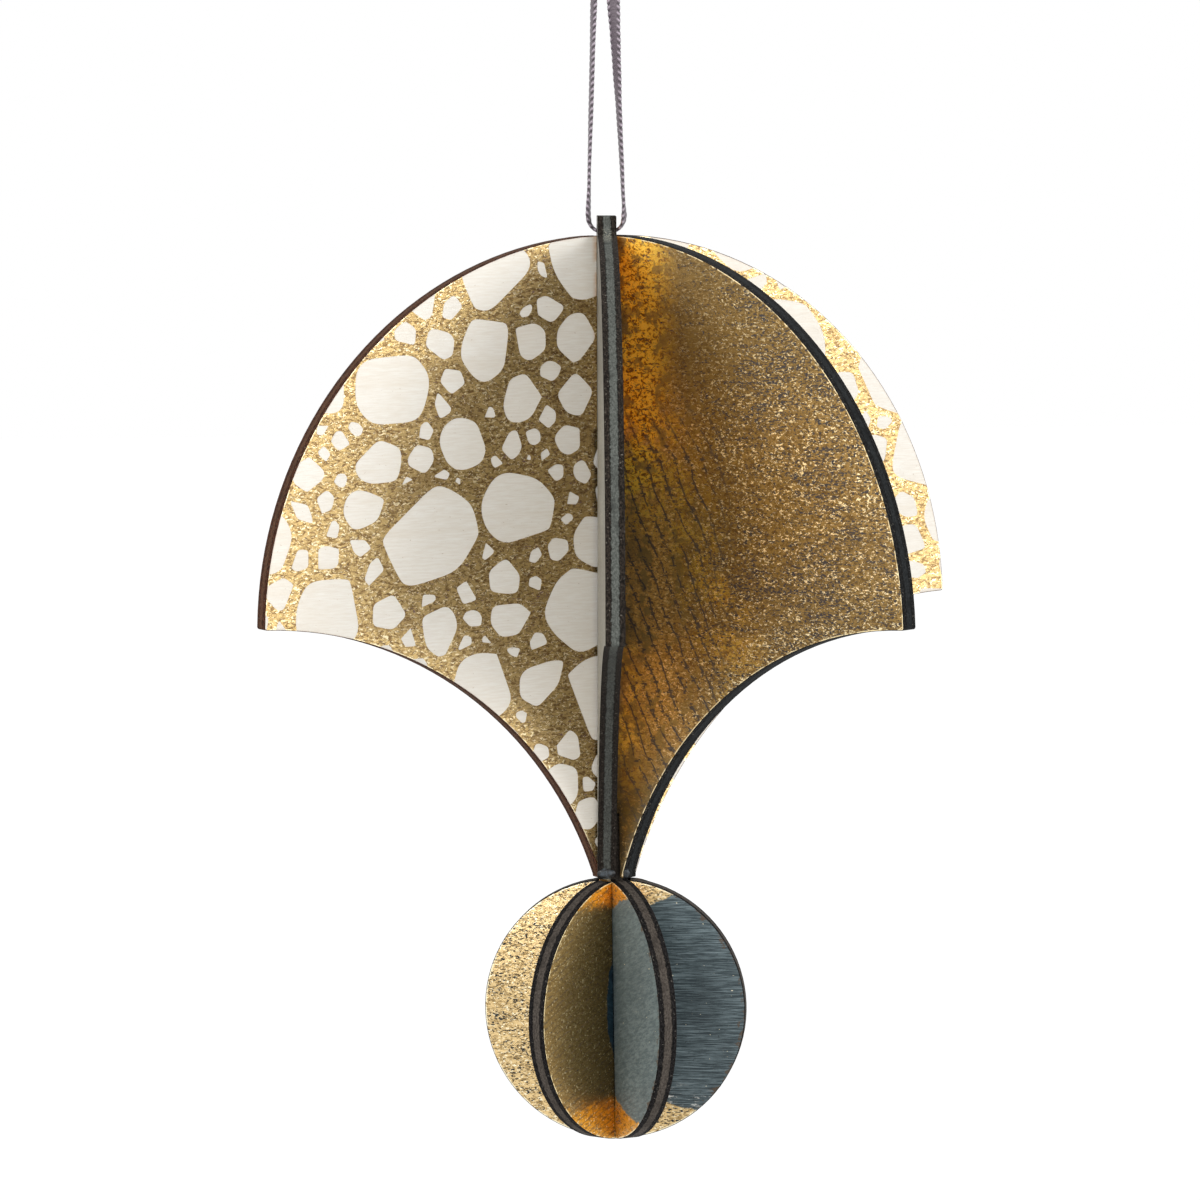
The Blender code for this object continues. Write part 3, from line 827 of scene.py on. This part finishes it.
def outline_of(board_piece, side):
    """The outline of a board's face, anticlockwise and in millimetres in its own plane."""
    work = bmesh.new()
    work.from_mesh(board_piece.data)
    work.normal_update()
    rim = {}
    for face in work.faces:
        if face.normal.y * side > SQUARE_ON and abs(face.calc_center_median().y) > BOARD * 0.49:
            for loop in face.loops:
                rim[loop.vert.index, loop.link_loop_next.vert.index] = True
    edges = {a: b for a, b in rim if (b, a) not in rim}
    first = next(iter(edges))
    order = [first]
    while edges[order[-1]] != first:
        order.append(edges[order[-1]])
    work.verts.ensure_lookup_table()
    points = [Vector((work.verts[i].co.x, work.verts[i].co.z)) / MM for i in order]
    work.free()
    return points if side < 0 else points[::-1]


def gold_print(name, board_piece, side, seed, material):
    """Foil over one face of the pale plate, with the chips left out; side is -1 for its front."""
    outline = outline_of(board_piece, side)
    draw = random.Random(seed + 1)
    chips = scattered_chips(seed)
    rings = []
    for chip in chips:
        if draw.random() < SKIPPED_SHARE and chip[2] < SKIPPED_BELOW:
            continue
        width = PRINT_LINE * draw.uniform(0.55, 1.7)
        polygon = chip_outline(chip, chips, width, draw)
        if len(polygon) < 3:
            continue
        ring = eased(polygon, chip[2] * CORNER_EASE)
        if len(ring) > 8:
            rings.append(ring)
    verts = list(outline)
    faces = [list(range(len(outline)))]
    for ring in rings:
        faces.append(list(range(len(verts), len(verts) + len(ring))))
        verts += ring
    points, _, triangles, _, _, sources = delaunay_2d_cdt(verts, [], faces, 1, 1e-5)
    kept = [tri for tri, source in zip(triangles, sources) if list(source) == [0]]
    work = bmesh.new()
    y = side * BOARD / 2
    made = [work.verts.new((p.x * MM, y, p.y * MM)) for p in points]
    for tri in kept:
        corners = [made[i] for i in tri]
        work.faces.new(corners if side < 0 else corners[::-1])
    loose = [v for v in work.verts if not v.link_faces]
    bmesh.ops.delete(work, geom=loose, context="VERTS")
    grown = bmesh.ops.extrude_face_region(work, geom=list(work.faces), use_keep_orig=True)["geom"]
    lifted = [g for g in grown if isinstance(g, bmesh.types.BMVert)]
    bmesh.ops.translate(work, verts=lifted, vec=(0, side * FOIL, 0))
    bmesh.ops.recalc_face_normals(work, faces=work.faces)
    mesh = bpy.data.meshes.new(name)
    work.to_mesh(mesh)
    work.free()
    mesh.materials.append(material)
    thing = add_object(name, mesh)
    thing.matrix_world = board_piece.matrix_world.copy()
    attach(thing, "bauble")


# Glue

def glue_bead(name, material, place, size):
    """A small lumpy drop of glue, with its centre and half sizes in millimetres."""
    work = bmesh.new()
    bmesh.ops.create_icosphere(work, subdivisions=4, radius=1.0)
    for vert in work.verts:
        lump = 1 + 0.16 * noise.noise(vert.co * 1.7 + Vector(place))
        vert.co = Vector([c * s * lump * MM for c, s in zip(vert.co, size)]) + Vector(place) * MM
    mesh = bpy.data.meshes.new(name)
    work.to_mesh(mesh)
    work.free()
    mesh.shade_smooth()
    mesh.materials.append(material)
    bead = add_object(name, mesh)
    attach(bead, "bauble")


# Cord

def smooth_points(points, step):
    """Points a step apart along the smooth curve through the route's own points."""
    curve = []
    for i in range(len(points) - 1):
        before = points[max(i - 1, 0)]
        start, end = points[i], points[i + 1]
        after = points[min(i + 2, len(points) - 1)]
        samples = max(2, math.ceil((end - start).length / step * 3))
        for k in range(samples):
            t = k / samples
            bend = (end - before) * t + (2 * before - 5 * start + 4 * end - after) * t ** 2
            bend += (3 * start - before - 3 * end + after) * t ** 3
            curve.append(start + bend / 2)
    curve.append(points[-1])
    lengths = [0.0]
    for a, b in zip(curve, curve[1:]):
        lengths.append(lengths[-1] + (b - a).length)
    count = math.ceil(lengths[-1] / step)
    route = []
    at = 0
    for k in range(count + 1):
        target = lengths[-1] * k / count
        while at < len(curve) - 2 and lengths[at + 1] < target:
            at += 1
        part = (target - lengths[at]) / (lengths[at + 1] - lengths[at])
        route.append(curve[at].lerp(curve[at + 1], part))
    return route


def eased_between(keys, at):
    """The value at a height, smooth between keys of (height, value)."""
    if at <= keys[0][0]:
        return keys[0][1]
    for (low, a), (high, b) in zip(keys, keys[1:]):
        if at <= high:
            t = (at - low) / (high - low)
            return a + (b - a) * t * t * (3 - 2 * t)
    return keys[-1][1]


def stitch(along, across):
    """The braid's relief from 0 to 1: slanting stitches down each edge and fine ones between them."""
    out = abs(across)
    edge = abs(math.sin(math.pi * (along / BRAID_PITCH + 0.75 * out)))
    fine = abs(math.sin(math.pi * (along / (0.5 * BRAID_PITCH) + 0.9 * out)))
    share = min(1.0, max(0.0, (out - 0.40) / 0.18))
    return (edge ** 0.7) * share + (0.45 + 0.35 * fine) * (1 - share)


def braid(name, route, width_at, width=BRAID_WIDTH, thickness=BRAID_THICKNESS):
    """A flat braid along a route; width_at gives the direction of its width at each point."""
    verts = []
    weave = []
    count = len(route)
    along = 0.0
    for i, point in enumerate(route):
        tangent = (route[min(i + 1, count - 1)] - route[max(i - 1, 0)]).normalized()
        if i:
            along += (point - route[i - 1]).length
        side = width_at(i, point, tangent)
        side = (side - tangent * side.dot(tangent)).normalized()
        out = tangent.cross(side)
        for k in range(BRAID_SIDES):
            angle = 2 * math.pi * k / BRAID_SIDES
            across = math.cos(angle)
            through = math.copysign(abs(math.sin(angle)) ** 0.75, math.sin(angle))
            relief = stitch(along, across)
            lift = 1 + (relief - 0.5) * 2 * BRAID_RELIEF / (thickness / 2)
            spread = 1 + (relief - 0.5) * 2 * BRAID_RELIEF / (width / 2)
            verts.append(point + side * across * width / 2 * spread + out * through * thickness / 2 * lift)
            weave.append(relief)
    faces = []
    for i in range(count - 1):
        for k in range(BRAID_SIDES):
            a, b = i * BRAID_SIDES + k, i * BRAID_SIDES + (k + 1) % BRAID_SIDES
            faces.append((a, b, b + BRAID_SIDES, a + BRAID_SIDES))
    faces.append(tuple(range(BRAID_SIDES))[::-1])
    faces.append(tuple(range((count - 1) * BRAID_SIDES, count * BRAID_SIDES)))
    thing = mesh_object(name, verts, faces)
    values = thing.data.attributes.new("weave", "FLOAT", "POINT")
    values.data.foreach_set("value", weave)
    thing.data.shade_smooth()
    work = bmesh.new()
    work.from_mesh(thing.data)
    bmesh.ops.recalc_face_normals(work, faces=work.faces)
    work.to_mesh(thing.data)
    work.free()
    return thing


def cord_look():
    """Mauve-grey synthetic braid with a silky sheen, painted shade between the stitches and painted
    highlights on top of them.
    """
    look = Look("cord_braid")
    weave = look.node("ShaderNodeAttribute", attribute_name="weave").outputs["Fac"]
    yarn = look.noise(look.stretched(look.place, 1, 1, 0.35), 0.09, detail=3, roughness=0.7)
    # Painted shade between the stitches and painted highlights on their tops, from the weave's relief
    colour = look.mix(look.rise(weave, 0.22, 0.72), (0.014, 0.010, 0.013), (0.120, 0.094, 0.111))
    colour = look.mix(look.rise(weave, 0.80, 1.0), colour, (0.42, 0.36, 0.41))
    colour = look.tinted(colour, look.rise(yarn, 0.46, 0.68), 0.30, (0.25, 0.205, 0.24))
    relief = look.bump(yarn, 0.03)
    return look.set(colour, 0.55, normal=relief, Sheen_Weight=0.35, Sheen_Roughness=0.4)


def hang_cord(material):
    """The cord from the knot, down through the tab and back up to the knot."""
    right = [Vector((x, 0, z - CORD_DROP)) for x, z in CORD_ROUTE]
    left = [Vector((-p.x, 0, p.z)) for p in reversed(right[1:])]
    route = smooth_points(left + right, BRAID_STEP)

    def width_at(i, point, tangent):
        height = (point.z + CORD_DROP) / MM - CORD_SEAT
        turn = math.radians(eased_between(RIGHT_TWIST if point.x > 0 else LEFT_TWIST, height))
        across = Vector((0, 1, 0))
        out = tangent.cross(across)
        return across * math.cos(turn) + out * math.sin(turn)

    thing = braid("cord_braid", route, width_at)
    thing.data.materials.append(material)
    length = sum((b - a).length for a, b in zip(route, route[1:]))
    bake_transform(thing)
    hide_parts("cord_loop")
    return thing, route, length


def tie_knot(material):
    """The knot: the doubled braid wound round itself, with its two ends standing out of the top."""
    wrap = []
    for i in range(WRAP_POINTS):
        t = i / (WRAP_POINTS - 1)
        angle = 2 * math.pi * WRAP_TURNS * t + 0.6
        height = (0.75 + 2.55 * t + 0.12 * math.sin(angle)) * MM
        swell = WRAP_RADIUS * (0.80 + 0.24 * math.sin(math.pi * t))
        wrap.append(Vector((swell * math.cos(angle), swell * math.sin(angle), height + 0.3 * MM)))
    wrap = smooth_points(wrap, KNOT_STEP)
    parts = [braid("knot_wrap", wrap, lambda i, p, t: Vector((0, 0, 1)), WRAP_WIDTH, WRAP_THICKNESS)]
    for side, low_turn, high_turn in ((-1, 30, 48), (1, 88, 72)):
        core = [
            Vector((side * 1.36 * MM, 0, -0.3 * MM)),
            Vector((side * 1.33 * MM, 0, 0.1 * MM)),
            Vector((side * 0.95 * MM, 0, 0.9 * MM)),
            Vector((side * 0.55 * MM, 0.1 * MM, 2.2 * MM)),
            Vector((side * 0.6 * MM, 0, KNOT_HEIGHT)),
            Vector((side * 1.0 * MM, 0.15 * MM * side, KNOT_HEIGHT + 3.2 * MM)),
            Vector((side * 1.9 * MM, 0.25 * MM * side, KNOT_HEIGHT + 7.6 * MM)),
        ]

        def width_at(i, point, tangent, side=side, low=low_turn, high=high_turn):
            turn = math.radians(low + (high - low) * max(0, min(1, point.z / KNOT_HEIGHT)))
            return Vector((math.sin(turn) * side, math.cos(turn), 0))

        end = smooth_points(core, KNOT_STEP)
        parts.append(braid("knot_end", end, width_at, END_WIDTH, END_THICKNESS))
    knot = join("cord_knot_tied", parts)
    knot.data.materials.append(material)
    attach(knot, "hanger")
    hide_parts("cord_knot")
    return knot


def join(name, parts):
    """One object from several meshes that share their attributes."""
    bpy.ops.object.select_all(action="DESELECT")
    for part in parts:
        part.select_set(True)
    bpy.context.view_layer.objects.active = parts[0]
    bpy.ops.object.join()
    parts[0].name = name
    parts[0].data.name = name
    return parts[0]


# Stage

def add_floor():
    """A pale floor well below the bauble."""
    corners = [(-4, -4, FLOOR_Z), (4, -4, FLOOR_Z), (4, 6, FLOOR_Z), (-4, 6, FLOOR_Z)]
    floor = mesh_object("floor", corners, [(0, 1, 2, 3)])
    look = Look("floor")
    rays = look.node("ShaderNodeLightPath").outputs
    seen = look.largest(rays["Is Camera Ray"], rays["Is Glossy Ray"], rays["Is Transmission Ray"])
    share = look.product(seen, FLOOR_SEEN)
    look.set((0.86, 0.86, 0.86), 0.9)
    white = look.node("ShaderNodeEmission", {"Color": (1, 1, 1, 1), "Strength": FLOOR_GLOW}).outputs[0]
    mixed = look.node("ShaderNodeMixShader", {0: share, 1: look.shader.outputs[0], 2: white})
    look.put(look.tree.nodes["Material Output"].inputs[0], mixed.outputs[0])
    floor.data.materials.append(look.material)


def add_surround():
    """A white surround that lights the bauble more softly than it is seen."""
    world = bpy.data.worlds.new("studio")
    bpy.context.scene.world = world
    world.use_nodes = True
    tree = world.node_tree
    background = tree.nodes["Background"]
    rays = tree.nodes.new("ShaderNodeLightPath").outputs
    seen = tree.nodes.new("ShaderNodeMath")
    seen.operation = "MAXIMUM"
    tree.links.new(rays["Is Camera Ray"], seen.inputs[0])
    tree.links.new(rays["Is Glossy Ray"], seen.inputs[1])
    level = tree.nodes.new("ShaderNodeMapRange")
    level.inputs["To Min"].default_value = SKY_FILL
    level.inputs["To Max"].default_value = 1.0
    tree.links.new(seen.outputs[0], level.inputs["Value"])
    tree.links.new(level.outputs["Result"], background.inputs["Strength"])
    background.inputs["Color"].default_value = (1, 1, 1, 1)


def add_lamps():
    """Soft lamps, aimed at the middle of the fan."""
    for name, (place, size, power) in LAMPS.items():
        data = bpy.data.lights.new(name, "AREA")
        data.shape = "SQUARE"
        data.size = size
        data.energy = power
        lamp = add_object(name, data)
        lamp.location = place
        aim = Vector((0, 0, FAN_Z)) - Vector(place)
        lamp.rotation_euler = aim.to_track_quat("-Z", "Y").to_euler()


def build():
    add_camera()
    cord_material = cord_look()
    cord_piece, route, length = hang_cord(cord_material)
    knot = tie_knot(cord_material)

    foil = leaf("gold_foil", GOLD, RED_BROWN, 3.0, 0.42)
    wood = pale_wood("pale_wood")
    bronze_looks = [
        leaf(name, SHADED_BRONZE, NIGHT, seed, worn_outward, glints_outward, metal=0.72, age_and_painted_light=True)
        for name, seed in (("bronze_near", 11.0), ("bronze_far", 29.0))
    ]
    cap_left = moon("cap_left", GOLD, WARM_GREY, (-12, 2), 68, 0.5, 41.0, disc=False)
    cap_right = moon("cap_right", GOLD, BLUE, (-6, 12), 17, 0.5, 47.0, disc=False, orange=orange_reflection_near_axis)

    dark_edge = burnt_edge("dark_edge", (0.019, 0.015, 0.012), (0.110, 0.117, 0.105), marks=True)
    brown_edge = burnt_edge("brown_edge", (0.055, 0.022, 0.012), (0.110, 0.055, 0.032))
    black_edge = burnt_edge("black_edge", (0.011, 0.011, 0.011), (0.022, 0.024, 0.025))
    ball_edge = burnt_edge("ball_edge", (0.010, 0.009, 0.009), (0.084, 0.071, 0.060), seam=0.70)

    board("cap_plate", CAP_HEADING, FAN_Z, cap_right, cap_left, dark_edge, lean=CAP_LEAN, close=0.0)
    pebble = board("pebble_plate", PEBBLE_HEADING, FAN_Z, wood, wood, brown_edge, follows=True)
    board("bronze_plate", BRONZE_HEADING, FAN_Z, *bronze_looks, black_edge)
    gold_print("gold_print_front", pebble, -1, 5, foil)
    gold_print("gold_print_back", pebble, 1, 8, foil)

    even = (18.0, 4.0, 0.34)
    stub = {"orange": orange_reflection_near_poles, "brush": even, "glint_share": 0.8}
    middle = {"brush": (0.0, 34.0, 0.11), "scuffs": True}
    lower = {
        "orange": orange_reflection_near_poles,
        "brush": even,
        "glint_share": 0.22,
        "cracks": (70.0, 1.1),
        "relief_depth": 0.035,
    }
    stub_looks = [
        moon(name, GOLD, BLUE, (12.7, 1.3), 18.2, 0.5, seed, **stub)
        for name, seed in (("stub_face", 53.0), ("stub_back", 59.0))
    ]
    middle_looks = [
        moon(name, LIT_GOLD, SHADED_BLUE, (x, 1.4), 18.1, 0.82, seed, **middle)
        for name, x, seed in (("middle_face", 15.4, 61.0), ("middle_back", -15.4, 67.0))
    ]
    lower_looks = [
        moon(name, SHADED_OLIVE, DEEPER_SHADED_BLUE, (-15.9, 0.4), 20.3, 0.36, seed, **lower)
        for name, seed in (("lower_back", 73.0), ("lower_face", 71.0))
    ]
    board("ball_stub_disc", STUB_HEADING, BALL_Z, *stub_looks, ball_edge)
    board("ball_middle_disc", STUB_HEADING + DISC_STEP, BALL_Z, *middle_looks, ball_edge)
    board("ball_lower_disc", STUB_HEADING - DISC_STEP, BALL_Z, *lower_looks, ball_edge)

    set_glue = glue("glue")
    glue_bead("cap_glue", set_glue, (-1.27, -4.0, -143.5), (1.40, 0.42, 0.75))
    glue_bead("bronze_glue", set_glue, (1.85, -2.95, -143.6), (0.60, 0.50, 0.70))
    add_floor()
    add_surround()
    add_lamps()


build()
bpy.context.scene.view_settings.view_transform = "Standard"
